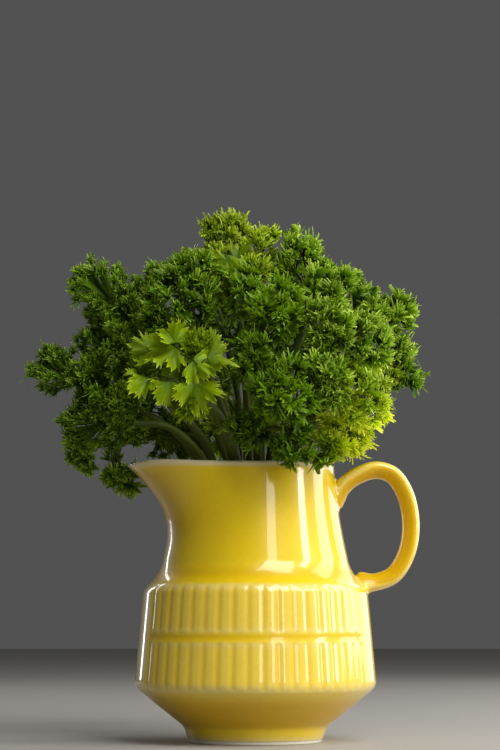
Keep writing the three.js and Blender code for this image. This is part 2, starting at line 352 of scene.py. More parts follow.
handleShape = {
    "route": ((34.9, 108.5), (41.5, 118.0), (49, 122.9), (57, 124.7), (64.6, 121.5),
              (70, 112), (72, 99.5), (70.2, 87), (64.5, 77), (56.6, 73.2), (46.5, 72.2)),
    "depth": 8.2, "width": 14, "ridgeShift": 1.3, "sides": 40, "perSpan": 9,
    "flareLength": 9, "flare": 0.42,
    "blendReach": 3.4, "blendSteps": 14, "blendFrom": 0.03, "blendHalf": 0.02,
}
# Where the glaze has pooled and where it is thin: bands round the body, as height, reach and amount, and how
# much there is in each other place.
glazeBands = {
    "pooled": ((8.2, 1.6, 0.5), (76.5, 3.0, 0.6)),
    "thin": ((24.8, 1.2, 0.75), (70.6, 1.0, 0.75), (2.4, 1.0, 0.75)),
}
# coneShade and underLipShade are painted shade: the pooled colour darkens the lower cone above the foot and
# the neck under the lip
glazeTones = {
    "valley": 0.4, "coneShade": 0.85, "coneShadeTop": 17, "rib": 0.3, "rimClay": 0.45,
    "underLipShade": 0.7, "lipTurn": (2.2, 2.75), "lipHeights": (84, 98),
}
# Painted light on the handle: the pooled colour paints shade over the side away from the outer ridge, and the
# thin colour paints a highlight along that ridge, with a paler line along the inner edge
handleShadeAndHighlight = {
    "ridge": 0.05, "ridgeTurns": 0.57, "ridgeTurnsAt": (46, 66), "innerEdge": (0.9, 0.98), "fadeFrom": 0.52,
    "fadeTo": 0.22, "pooled": 0.9, "thin": 0.7, "thinReach": 0.25, "thinInside": 0.4,
}


def arc(start, control, end, steps):
    share = np.linspace(0, 1, steps + 1)[1:, None]
    start, control, end = (np.array(point, float) for point in (start, control, end))
    return (1 - share) ** 2 * start + 2 * share * (1 - share) * control + share**2 * end


def line(start, end, steps):
    share = np.linspace(0, 1, steps + 1)[1:, None]
    return np.array(start, float) * (1 - share) + np.array(end, float) * share


# The cut through one side of the jug, from the axis under the foot, up the outside and down the inside. Each
# row ends with its number of steps, and holds the point that it goes to, or draws a curve, and its end.
def jugOutline(height):
    foot, belly, top, neck = pick(jugShape, "footRadius bellyRadius beltTopRadius neckRadius")
    ring, recess, clay, wall, floor = pick(jugShape, "footInner footRecess bareClay wall floor")
    rise, beltFoot, beltTop, shoulder = pick(jugShape, "footHeight beltFoot beltTop shoulderTop")
    waist, mouth, rimRound = pick(jugShape, "waist mouthRadius rimRound")
    rimFoot, edge = height - rimRound, wall / 2
    around = np.linspace(0, math.pi, 9)[1:]
    rim = np.stack([mouth - edge + edge * np.cos(around), rimFoot + rimRound * np.sin(around)], 1)
    outside = (
        ((ring - 2, recess), 3),
        ((ring, recess), (ring + 0.8, 0.25), 4),
        ((ring + 1, 0), (ring + 1.5, 0), 2),
        ((foot - 0.7, 0), 3),
        ((foot - 0.1, 0), (foot, 0.7), 3),
        ((foot + 0.25, clay), 2),
        ((foot + 0.7, clay + 0.1), (foot + 0.85, clay + 0.8), 3),
        ((foot + 1.8, rise - 1), 3),
        ((foot + 2.2, rise + 1), (foot + 4, rise + 2.4), 5),
        ((belly - 1.9, beltFoot - 2.2), 6),
        ((belly + 0.4, beltFoot), (belly, beltFoot + 3.2), 7),
        ((top, beltTop - 2), 44),
        ((top, beltTop + 0.6), (top - 2.6, beltTop + 3), 8),
        ((neck + 1, beltTop + 8), (neck, shoulder), 12),
        ((mouth + 1.2, waist), (mouth, rimFoot), 22),
    )
    inside = (
        ((mouth + 1.2 - wall, waist), (neck - wall, shoulder), 9),
        ((neck + 0.4 - wall, beltTop + 6), (top - 6, beltTop), 4),
        ((belly - 4.2, beltFoot + 3.2), 2),
        ((belly - 4, beltFoot + 1), (belly - 6.2, beltFoot - 0.6), 3),
        ((foot + 0.6, floor + 3), 2),
        ((foot - 2, floor), (foot - 6, floor), 3),
        ((0, floor), 3),
    )
    return drawRows(rim, inside, drawRows(np.array([[0, recess]]), outside))


def drawRows(start, rows, before=()):
    parts = [*before, start]
    for *points, steps in rows:
        draw = line if len(points) == 1 else arc
        parts.append(draw(parts[-1][-1], *points, steps))
    return parts


def turnFromFront(angle):
    return np.abs((angle + math.pi) % math.pi - math.pi / 2)


# How far the valleys between the ribs, and the groove between their two rows, are let in.
def ribCut(angle, height, nearBelt):
    pitch, fade = pick(ribs, "pitch rowFade")
    fromFront = turnFromFront(angle)
    fromRib = np.abs((fromFront / pitch + 0.5) % 1 - 0.5)
    valley = smoothStep(fromRib, ribs["flatShare"], ribs["valleyShare"])
    inPanel = fromFront < pitch * ribs["count"] / 2 + pitch / 16
    row = np.zeros_like(height)
    for low, high in ribs["rows"]:
        rise = smoothStep(height, low, low + fade)
        row = np.maximum(row, rise * (1 - smoothStep(height, high - fade, high)))
    groove = np.exp(-(((height - ribs["grooveMiddle"]) / ribs["grooveHalf"]) ** 4))
    cut = np.maximum(valley * row * ribs["depth"], groove * ribs["grooveDepth"])
    return cut * inPanel * nearBelt


# Where the raised ribs are, with a painted highlight on their rounded ends.
def inRibs(angle, height):
    found = np.zeros_like(height)
    fade, inset, reach, capHighlight = pick(ribs, "paleFade endInset endReach endPale")
    for low, high in ribs["rows"]:
        inside = smoothStep(height, low, low + fade) * (1 - smoothStep(height, high - fade, high))
        ends = bands(height, ((low + inset, reach, 1),)) + bands(height, ((high - inset, reach, 1),))
        found = np.maximum(found, inside + capHighlight * ends)
    return found * (turnFromFront(angle) < ribs["pitch"] * ribs["count"] / 2)


# The strongest at each height of several bands, each a middle, a reach and an amount.
def bands(height, rows):
    found = [amount * np.exp(-(((height - middle) / reach) ** 2)) for middle, reach, amount in rows]
    return np.max(found, axis=0)


# The rim is drawn out and up a little to make the pouring lip.
def pullLip(places, height):
    s = jugShape
    x, y, z = places.T
    towards = np.maximum(0, -x / np.maximum(np.hypot(x, y), tiny))
    share = towards * (1 + s["lipFullness"] * (1 - towards**2))
    rise = np.clip((z - s["lipStart"]) / (height - s["lipStart"]), 0, None)
    x = x - s["lipReach"] * rise**2 * share
    z = z + s["lipRise"] * rise**6 * np.sin(math.pi * share**3)
    return np.stack([x, y, z], 1)


def jugBody(height):
    bm = bmesh.new()
    ring = [bm.verts.new((r, 0, z)) for r, z in np.vstack(jugOutline(height))]
    edges = [bm.edges.new(pair) for pair in zip(ring[:-1], ring[1:])]
    bmesh.ops.spin(bm, geom=ring + edges, cent=(0, 0, 0), axis=(0, 0, 1), angle=2 * math.pi,
                   steps=jugShape["turns"], use_merge=True)
    bmesh.ops.remove_doubles(bm, verts=bm.verts, dist=1e-4)
    bmesh.ops.recalc_face_normals(bm, faces=bm.faces)
    mesh = closeMesh(bm, bpy.data.meshes.new("jugBody"))
    belly, top, neck, mouth = pick(jugShape, "bellyRadius beltTopRadius neckRadius mouthRadius")
    beltFoot, beltTop, shoulder = pick(jugShape, "beltFoot beltTop shoulderTop")
    places = vertexPlaces(mesh)
    radius = np.hypot(places[:, 0], places[:, 1])
    z = places[:, 2]
    beltLine = belly + (top - belly) * np.clip((z - beltFoot) / (beltTop - beltFoot), 0, 1)
    nearBelt = (radius > beltLine - ribs["bandDepth"]) & (z > ribs["bandFoot"]) & (z < ribs["bandTop"])
    angle = np.arctan2(places[:, 1], places[:, 0])
    cut = ribCut(angle, z, nearBelt)
    places[:, :2] *= ((radius - cut) / np.maximum(radius, tiny))[:, None]
    withinWall = np.interp(z, (0, shoulder, height), (28, neck - 1, mouth - 1.7))
    setAttribute(mesh, "glaze", bodyTones(angle, z, cut, nearBelt, radius > withinWall, height))
    mesh.vertices.foreach_set("co", (pullLip(places, height) * mm).ravel())
    mesh.update()
    return mesh


# red holds pooled glaze and painted shade (the lower cone, under the lip, the handle's inner side), green
# thin glaze on edges and painted highlights (the rib ends, the handle's ridge), blue bare clay
def bodyTones(angle, z, cut, nearBelt, outside, height):
    t = glazeTones
    rise, beltFoot, clayTop = pick(jugShape, "footHeight beltFoot bareClay")
    # painted shade on the lower cone and under the lip
    coneShadeMask = smoothStep(z, rise, rise + 3) * (1 - smoothStep(z, t["coneShadeTop"], beltFoot - 2))
    underLipShade = smoothStep(np.abs(angle), *t["lipTurn"]) * smoothStep(z, *t["lipHeights"])
    underLipShade = underLipShade * (1 - smoothStep(z, height - 6, height - 2))
    poolAndShade = np.maximum(t["coneShade"] * coneShadeMask, t["underLipShade"] * underLipShade)
    poolAndShade = np.maximum(poolAndShade, bands(z, glazeBands["pooled"])) * outside
    poolAndShade = np.maximum(poolAndShade, t["valley"] * smoothStep(cut, 0.1, ribs["depth"]))
    # thin glaze on the ribs, with painted highlights at their ends
    thin = np.maximum(t["rib"] * inRibs(angle, z) * nearBelt, bands(z, glazeBands["thin"]) * outside)
    thin = np.maximum(thin, smoothStep(z, height - 2.0, height - 1.2)) * (1 - poolAndShade)
    rimClay = t["rimClay"] * smoothStep(z, height - 1.9, height - 1.2)
    clay = np.maximum((z < clayTop + 0.2) * 1.0, rimClay)
    return np.stack([poolAndShade, thin, clay, np.ones_like(z)], 1)


def jugHandle():
    s = handleShape
    path = smoothPath([(x, 0, z) for x, z in s["route"]], s["perSpan"])
    along = np.concatenate([[0], np.cumsum(np.linalg.norm(np.diff(path, axis=0), axis=1))])
    nearEnd = np.minimum(along, along[-1] - along)
    flare = 1 + s["flare"] * (1 - smoothStep(nearEnd, 0, s["flareLength"]))[:, None, None]
    out = np.cross(unit(np.gradient(path, axis=0)), (0, 1, 0))[:, None, :]
    turn = np.linspace(0, 2 * math.pi, s["sides"] + 1)[None, :, None]
    deep = (np.cos(turn) * s["depth"] / 2 + np.sin(turn) ** 2 * s["ridgeShift"]) * flare
    across = np.sin(turn) * s["width"] / 2 * (0.4 + 0.6 * flare)
    points = path[:, None, :] + out * deep + np.array((0, 1, 0)) * across
    t = handleShadeAndHighlight
    outwards = np.cos(turn[..., 0])
    ridge = t["ridge"] + t["ridgeTurns"] * smoothStep(path[:, :1], *t["ridgeTurnsAt"])
    innerEdge = smoothStep(-outwards, *t["innerEdge"])
    tones = np.zeros((1,) + points.shape[:2] + (4,))
    # painted shade over the handle's side away from the ridge
    fade = smoothStep(outwards, ridge - t["fadeFrom"], ridge - t["fadeTo"])
    tones[..., 0] = t["pooled"] * (1 - fade) * (1 - innerEdge)
    # painted highlight along the outer ridge, and a paler inner edge
    thin = t["thin"] * np.exp(-((outwards - ridge) / t["thinReach"]) ** 2)
    tones[..., 1] = thin + t["thinInside"] * innerEdge
    tones[..., 3] = 1
    return patchMesh("jugHandle", (points * mm)[None], tones, "glaze", closed=True)


# Joins the handle to the body, then softens the crease where they meet as the wet clay is smoothed.
def joinHandle(bodyMesh, handleMesh, *materials):
    jug = newObject("glazedJug", bodyMesh, *materials)
    handle = newObject("handleToJoin", handleMesh, *materials)
    join = jug.modifiers.new("join", "BOOLEAN")
    join.operation = "UNION"
    join.solver = "EXACT"
    join.object = handle
    depsgraph = bpy.context.evaluated_depsgraph_get()
    joined = bpy.data.meshes.new_from_object(jug.evaluated_get(depsgraph), depsgraph=depsgraph)
    jug.modifiers.clear()
    jug.data = joined
    joined.name = "glazedJug"
    keepTones(joined, bodyMesh, handleMesh)
    bpy.data.objects.remove(handle)
    return jug


# The join mixes up the tones, so each corner takes those of the nearest one before the join.
def keepTones(joined, *meshes):
    places = np.concatenate([vertexPlaces(mesh) for mesh in meshes])
    tones = np.concatenate([readTones(mesh) for mesh in meshes])
    tree = KDTree(len(places))
    for index, place in enumerate(places):
        tree.insert(place, index)
    tree.balance()
    nearest = [tree.find(vert.co)[1] for vert in joined.vertices]
    setAttribute(joined, "glaze", tones[nearest])


def readTones(mesh):
    tones = np.empty(len(mesh.vertices) * 4)
    mesh.attributes["glaze"].data.foreach_get("color", tones)
    return tones.reshape(-1, 4)


def softenJoin(jug, body, handle):
    bm = openMesh(jug.data)
    bodySide = BVHTree.FromPolygons(*body)
    handleSide = BVHTree.FromPolygons(*handle)
    reach = handleShape["blendReach"] * mm
    near = []
    for vert in bm.verts:
        if vert.co.x < handleShape["blendFrom"] or abs(vert.co.y) > handleShape["blendHalf"]:
            continue
        toBody = bodySide.find_nearest(vert.co, reach)[3]
        toHandle = handleSide.find_nearest(vert.co, reach)[3]
        if toBody is not None and toHandle is not None:
            near.append(vert)
    for _ in range(handleShape["blendSteps"]):
        bmesh.ops.smooth_vert(bm, verts=near, factor=0.5, use_axis_x=True, use_axis_y=True, use_axis_z=True)
    for face in bm.faces:
        face.smooth = True
    closeMesh(bm, jug.data)
    print("join softened over", len(near), "corners")


def meshParts(mesh):
    return [vert.co.copy() for vert in mesh.vertices], [tuple(face.vertices) for face in mesh.polygons]


# pooled also paints shade and thin also paints highlights, where the glaze tones put them
glazeLook = {
    "body": (0.76, 0.53, 0.005), "pooled": (0.58, 0.335, 0.001), "thin": (0.72, 0.57, 0.18),
    "clay": (0.80, 0.74, 0.60), "roughness": 0.33, "clayRoughness": 0.85, "index": 1.52, "specular": 0.3,
    "coat": 1.0, "coatPooled": 0.1, "coatRoughness": 0.03,
    "blotches": (28, 420, 0.10), "ripples": 45, "bump": (0.22, 0.002),
}


def glazeMaterial():
    look = glazeLook
    material, tree, shader = newMaterial("yellowGlaze")
    poolAndShade, thin, clay = readAttribute(tree, "glaze")[:3]
    colour = addMix(tree, poolAndShade, (*look["body"], 1), (*look["pooled"], 1))
    colour = addMix(tree, thin, colour, (*look["thin"], 1))
    colour = addMottle(tree, colour, *look["blotches"])[0]
    colour = addMix(tree, clay, colour, (*look["clay"], 1))
    ripples = addNoise(tree, look["ripples"], detail=1)
    setSockets(tree, shader, {
        "Base Color": colour, "Normal": addBump(tree, ripples, *look["bump"]),
        "Roughness": addRange(tree, clay, look["roughness"], look["clayRoughness"]),
        "Coat Weight": addRange(tree, poolAndShade, look["coat"], look["coatPooled"]),
        "Coat Roughness": look["coatRoughness"], "IOR": look["index"],
        "Specular IOR Level": look["specular"]})
    return material


def makeJug():
    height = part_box("jug")[1].z / mm - jugShape["lipRise"]
    body = jugBody(height)
    handle = jugHandle()
    bodyParts, handleParts = meshParts(body), meshParts(handle)
    jug = joinHandle(body, handle, glazeMaterial())
    softenJoin(jug, bodyParts, handleParts)
    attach(jug, "root")
    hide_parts("jug", "jug_handle")
    print("jug made", len(jug.data.polygons), "faces")


makeJug()


# Stalks

# where young, paler leaves grow, brightened further as painted light where light falls on them most: middle,
# reach and how pale
youngAndLitPatches = (((46, -28, 140), 31, 1.0), ((-6, -8, 226), 16, 0.12), ((52, -8, 192), 14, 0.12),
                ((40, -52, 158), 14, 0.25), ((58, -5, 168), 11, 0.4))
stalkLook = {
    "sides": 15, "perSpan": 5, "ridges": 5, "ridgeDepth": 0.10, "cadSides": 6,
    # paler at the cut foot and darker toward the fork, as painted shade under the leaves
    "greens": ((0.17, 0.20, 0.03), (0.125, 0.140, 0.006), (0.035, 0.07, 0.003)),     # from foot to fork
    "greensAt": (0.0, 0.62, 1.0), "groove": (0.022, 0.040, 0.002), "streaks": 5.0,
    "roughness": 0.55, "specular": 0.25, "blotches": (90, 1400, 0.45), "bump": (0.25, 0.0006),
}


# The middle line and thickness of a stalk, ring by ring from its cut foot to its fork.
def stalkRings(node):
    bm = openMesh(frame["nodes"][node].data)
    bmesh.ops.remove_doubles(bm, verts=bm.verts, dist=tiny)
    ring = sorted(bm.verts, key=lambda vert: vert.co.z)[:stalkLook["cadSides"]]
    seen = set(ring)
    middles, radii = [], []
    while ring:
        places = np.array([vert.co for vert in ring])
        middles.append(places.mean(0))
        radii.append(np.linalg.norm(places - places.mean(0), axis=1).mean())
        ring = list({other for vert in ring for edge in vert.link_edges for other in edge.verts} - seen)
        seen.update(ring)
    bm.free()
    return np.array(middles), np.array(radii)


# Points of tubes along several paths at once. paths is (tubes, steps, 3) and radii (tubes, steps).
def tubePoints(paths, radii, sides, ridges=0, ridgeDepth=0):
    ahead = unit(np.gradient(paths, axis=1))
    mean = unit(ahead.mean(1))
    upright = np.abs(mean[:, 2:3]) > 0.8
    reference = np.where(upright, (1.0, 0, 0), (0, 0, 1.0))
    side = unit(np.cross(ahead, reference[:, None, :]))
    other = np.cross(ahead, side)
    turn = np.linspace(0, 2 * math.pi, sides + 1)[None, None, :, None]
    reach = radii[:, :, None, None] * (1 + ridgeDepth * np.cos(ridges * turn))
    ring = side[:, :, None, :] * np.cos(turn) + other[:, :, None, :] * np.sin(turn)
    return paths[:, :, None, :] + reach * ring


def plainTones(points, chance, along=None):
    tones = np.ones(points.shape[:3] + (4,))
    tones[..., 0] = np.linspace(0, 1, points.shape[1])[None, :, None] if along is None else along
    tones[..., 1] = np.broadcast_to(chance, points.shape[:3])
    tones[..., 2] = np.abs(np.linspace(-1, 1, points.shape[2]))[None, None, :]
    tones[..., 3] = youthAndLight(points)
    return tones


# how young each point is, which also paints light where the young patches lie
def youthAndLight(points):
    found = np.zeros(points.shape[:-1])
    for middle, reach, amount in youngAndLitPatches:
        away = np.linalg.norm(points - np.array(middle) * mm, axis=-1) / (reach * mm)
        found = np.maximum(found, amount * (1 - smoothStep(away, 0.6, 1.2)))
    return found


def stalkMaterial():
    look = stalkLook
    material, tree, shader = newMaterial("parsleyStalk")
    along, _, around, _ = readAttribute(tree, "leafTone")
    colour = addRamp(tree, along, look["greens"], look["greensAt"])
    streaks = addMath(tree, "PINGPONG", addMath(tree, "MULTIPLY", around, look["streaks"]), 0.5)
    colour = addMix(tree, streaks, colour, (*look["groove"], 1))
    colour, height = addMottle(tree, colour, *look["blotches"])
    setSockets(tree, shader, {"Base Color": colour, "Normal": addBump(tree, height, *look["bump"]),
                              "Roughness": look["roughness"], "Specular IOR Level": look["specular"]})
    return material


stalkGreen = stalkMaterial()
forks, stalkPaths = {}, {}


def makeStalk(node):
    middles, radii = stalkRings(node)
    path = smoothPath(middles, stalkLook["perSpan"])
    reach = smoothPath(radii[:, None], stalkLook["perSpan"])[:, 0]
    forks[node] = (middles[-1], unit(middles[-1] - middles[-2]))
    stalkPaths[node] = path
    points = tubePoints(path[None], reach[None], *pick(stalkLook, "sides ridges ridgeDepth"))
    mesh = patchMesh(node + "_stalk", points, plainTones(points, 0.5), closed=True)
    stalk = newObject(node + "_stalk", mesh, stalkGreen)
    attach(stalk, "root")
    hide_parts(node)


for node in stalkNodes:
    makeStalk(node)
print("stalks made")


# Leaf heads

# crisp: tight curls of fingered lobes, gathered into domes. under: longer lobes beneath them. fan: flat fans
# of narrow ribbed sheets with curls along their rim. flat: broad toothed blades.
leafHabits = {                  # millimetres, and shares of a lobe's length
    "crisp": {"spacing": 6.4, "backSpacing": 8.0, "sink": 4.2, "lobes": 11, "fewLobes": 6, "opening": 1.3,
              "length": 4.55, "halfWidth": 2.25, "fingers": 4, "rows": (0, 0.54, 0.8, 1), "slitRow": 1,
              "fingerShare": 0.84, "pinch": 0.45, "cup": 0.30, "curl": 0.30, "wave": 0.24, "waves": 3.1,
              "bend": 0.48, "stray": 0.08, "roundness": 0.2, "lean": 0.45, "growthStray": 0.33,
              "perDome": 5.0, "domeDepth": 8.5, "domeRise": 2.1, "domeReach": 7.0, "domeLeast": -2.4,
              "domeShade": 0.4, "shelterSink": 5.0, "shelterShrink": 0.3, "shelterShade": 0.6,
              "sheltered": 0.45},
    "under": {"sheets": 2, "length": 6.8, "halfWidth": 3.2, "opening": 1.45, "fingers": 2,
              "rows": (0, 0.6, 1), "slitRow": 1, "fingerShare": 0.9, "pinch": 0.7, "cup": 0.2, "curl": -0.1,
              "wave": 0.15, "waves": 3, "bend": 0.2, "stray": 0.1, "roundness": 0.2, "tone": 0.75,
              "shade": 0.3},
    "fan": {"fans": 3, "ribs": 12, "halfSpread": 1.15, "beyond": -1.5, "halfShare": 0.080, "fingers": 3,
            "rows": (0, 0.3, 0.55, 0.78, 1), "slitRow": 3, "fingerShare": 0.8, "pinch": 0.6, "cup": 0.05,
            "curl": 0.10, "wave": 0.03, "waves": 4, "bend": 0.06, "stray": 0.03, "roundness": 0.05,
            "rootShare": 0.85, "rootGap": 1.5, "rimGap": 3.0, "faces": (-0.25, -1.0, 0.2),
            "curlsPerRib": 2, "curlLobes": 5, "curlSize": (0.60, 0.82), "curlShares": (0.78, 1.03),
            "curlAside": 1.8, "perTwig": 9},
    "flat": {"spread": 3.1, "rows": 12, "teeth": 36, "lobes": 3, "notch": 0.44, "parts": 9,
             "partNotch": 0.26, "tooth": 0.15, "cup": 0.25, "arch": 0.26, "wave": 0.30, "waves": 1.6,
             "ruffle": 0.10, "ruffles": 6, "sideShort": 0.26, "narrow": 0.92, "ahead": 2.0, "sink": 6.5,
             "sunkFrom": 5},
}
sheetRules = {"mostStray": 1.5, "slitRagged": 0.05, "tipRagged": 0.18, "footWidth": 0.13, "widens": 0.8,
              "cups": (0.3, 1.5), "curls": (-0.6, 1.5), "twist": 0.3}
# the shade and tone of the low leaflets darken them as painted shade under the heads
lowRules = {                    # for the leaflets low on a stalk, millimetres and shares
    "above": 139, "away": (2.5, 8), "sizes": (0.75, 1.0), "shade": 0.5, "tone": 0.75, "branchShare": 0.7,
}

# What sets single heads apart, by their numbers.
fanHeads = (16, 17, 18, 19, 21)
backHeads = range(22, 28)
tuftCounts = {10: 3, 15: 3, 20: 3, 27: 3, 28: 3}         # others have two
# painted shade on heads that lie in shadow: how far their curls' tone is pulled toward the dark foot colour
shadedHeads = {9: 0.72, 10: 0.85, 11: 0.85, 15: 0.6, 26: 0.6}  # how pale the curls of a darker head are
lowLeaflets = {7: 12, 9: 16, 15: 10, 17: 14, 18: 16, 19: 20, 20: 22, 21: 20}
# each blade's foot and direction, both seen from the front as x and z, and its length
flatBlades = {
    13: ((-41, 214, 0.10, 0.99, 12),),
    14: ((-13, 220, -0.12, -0.99, 13), (-13, 217, -0.90, -0.40, 10), (-9, 219, 0.70, 0.70, 9)),
    15: ((-35, 173, -0.62, -0.78, 16), (-33, 170, 0.85, 0.53, 14), (-33, 169, 0.20, -0.98, 16),
         (-21, 167, 1.00, 0.05, 13), (-26, 157, 0.12, -0.99, 15), (-35, 175, -0.10, 0.99, 11),
         (-46, 159, -0.75, -0.66, 12), (-37, 158, -0.35, -0.94, 12), (-44, 172, -0.95, 0.30, 12),
         (-29, 174, 0.55, 0.84, 11), (-27, 166, 0.80, -0.60, 12)),
}
# how far the leaves stand beside the CAD body, in millimetres
nudges = {1: (0, 0, 1), 2: (-0.5, 0, 0.5), 3: (0, 0, -3), 5: (0, 0, 4.5), 13: (1, 0, -2.5), 16: (2, 0, -3),
          17: (3, 0, 0), 18: (4.5, 0, 0), 19: (3, 0, 0), 20: (1, 0, 0.8), 25: (-4, 0, 2)}

# Each green ramp goes from a foot darkened as painted shade deep among the curls, through the body, to an
# edge paled as a painted sheen
leafGreens = {                  # a leaflet's foot, body and edge
    "leaf_dark": ((0.012, 0.045, 0.001), (0.115, 0.245, 0.002), (0.36, 0.52, 0.04)),
    "leaf_mid": ((0.028, 0.082, 0.001), (0.180, 0.345, 0.002), (0.52, 0.68, 0.08)),
    "leaf_lime": ((0.085, 0.175, 0.001), (0.310, 0.440, 0.002), (0.64, 0.76, 0.08)),
}
# young leaves' greens, brighter still as painted light
youngAndLitGreens = ((0.32, 0.48, 0.001), (0.78, 0.90, 0.004), (0.98, 1.0, 0.11))
leafLook = {
    "greensAt": (0.2, 0.72, 1.0), "vein": 0.38, "veinReach": 0.3, "values": (0.6, 1.38), "through": 0.36,
    "roughness": 0.40, "specular": 0.22, "blotches": (120, 1500, 0.35), "bump": (0.3, 0.0004),
}


def leafMaterial(slot):
    look, greens = leafLook, leafGreens[slot]
    material, tree, shader = newMaterial(slot + "Blade")
    along, chance, across, youngAndLit = readAttribute(tree, "leafTone")
    colour = addRamp(tree, along, greens, look["greensAt"])
    colour = addMix(tree, youngAndLit, colour, addRamp(tree, along, youngAndLitGreens, look["greensAt"]))
    vein = addRange(tree, across, look["vein"], 0, highest=look["veinReach"])
    colour = addMix(tree, vein, colour, (*greens[-1], 1))
    value = addRange(tree, chance, *look["values"])
    shade = addNode(tree, "ShaderNodeHueSaturation", {"Color": colour, "Value": value})
    colour, height = addMottle(tree, shade.outputs["Color"], *look["blotches"])
    setSockets(tree, shader, {"Base Color": colour, "Normal": addBump(tree, height, *look["bump"]),
                              "Roughness": look["roughness"], "Specular IOR Level": look["specular"]})
    through = addNode(tree, "ShaderNodeBsdfTranslucent", {"Color": colour})
    sockets = {"Fac": look["through"], 1: shader.outputs["BSDF"], 2: through.outputs["BSDF"]}
    both = addNode(tree, "ShaderNodeMixShader", sockets)
    tree.links.new(both.outputs["Shader"], tree.nodes["Material Output"].inputs["Surface"])
    return material


leafMaterials = {slot: leafMaterial(slot) for slot in leafGreens}


def triangles(node):
    mesh = frame["nodes"][node].data
    mesh.calc_loop_triangles()
    corners = np.array([face.vertices for face in mesh.loop_triangles])
    return vertexPlaces(mesh), corners


# Everything that a leaflet can lie against: the jug and all the heads.
def wholeBunch():
    places, corners, count = [], [], 0
    for node in ["jug", "jug_handle"] + headNodes:
        spots, faces = triangles(node)
        places.append(spots)
        corners.append(faces + count)
        count += len(spots)
    return BVHTree.FromPolygons(np.vstack(places).tolist(), np.vstack(corners).tolist())


bunch = wholeBunch()
coverRules = {                  # millimetres
    "hiddenWithin": 4.5, "startOut": 0.3, "twigThinner": 5.0, "startIn": 0.05, "triesPerPoint": 14,
    "looks": 16, "sight": 16, "lookFrom": 0.4,
}


# Evenly spread places on a head's outside, where nothing lies against it and it isn't a thin branch.
def leafPlaces(node, spacing, rng):
    spots, faces = triangles(node)
    corners = spots[faces]
    cross = np.cross(corners[:, 1] - corners[:, 0], corners[:, 2] - corners[:, 0])
    area = np.linalg.norm(cross, axis=1)
    tries = int(area.sum() / 2 / spacing**2 * coverRules["triesPerPoint"])
    chosen = rng.choice(len(faces), tries, p=area / area.sum())
    first, second = rng.random((2, tries, 1))
    over = first + second > 1
    first, second = np.where(over, 1 - first, first), np.where(over, 1 - second, second)
    places = corners[chosen, 0] + first * (corners[chosen, 1] - corners[chosen, 0])
    places = places + second * (corners[chosen, 2] - corners[chosen, 0])
    normals = unit(cross)[chosen]
    kept, keptNormals = [], []
    for place, normal in zip(places, normals):
        if kept and np.linalg.norm(np.array(kept) - place, axis=1).min() < spacing:
            continue
        start, ahead = Vector(place), Vector(normal)
        outside, inside = (ahead * coverRules[key] * mm for key in ("startOut", "startIn"))
        if bunch.ray_cast(start + outside, ahead, coverRules["hiddenWithin"] * mm)[0]:
            continue
        if bunch.ray_cast(start - inside, -ahead, coverRules["twigThinner"] * mm)[0]:
            continue
        kept.append(place)
        keptNormals.append(normal)
    return np.array(kept), np.array(keptNormals)


# How closely the rest of the bunch stands round each place, as the share of lines of sight that it stops.
def shelterOf(places, normals, rng):
    looks = rng.normal(0, 1, (coverRules["looks"], 3))
    found = []
    for place, normal in zip(places, normals):
        stopped = 0
        for look in unit(unit(looks) + normal):
            start = Vector(place + look * coverRules["lookFrom"] * mm)
            stopped += bunch.ray_cast(start, Vector(look), coverRules["sight"] * mm)[0] is not None
        found.append(stopped / coverRules["looks"])
    return np.array(found)


def perpendicular(vectors):
    flat = np.abs(vectors[:, 2:3]) < 0.9
    reference = np.where(flat, (0, 0, 1.0), (1.0, 0, 0))
    first = unit(np.cross(vectors, reference))
    return first, np.cross(vectors, first)


# The bases moved along several directions, each by its own amounts, to make (sheets, rows, columns, 3).
def spreadOut(bases, *moves):
    points = bases[:, None, None, :]
    for direction, amounts in moves:
        points = points + direction[:, None, None, :] * amounts[..., None]
    return points


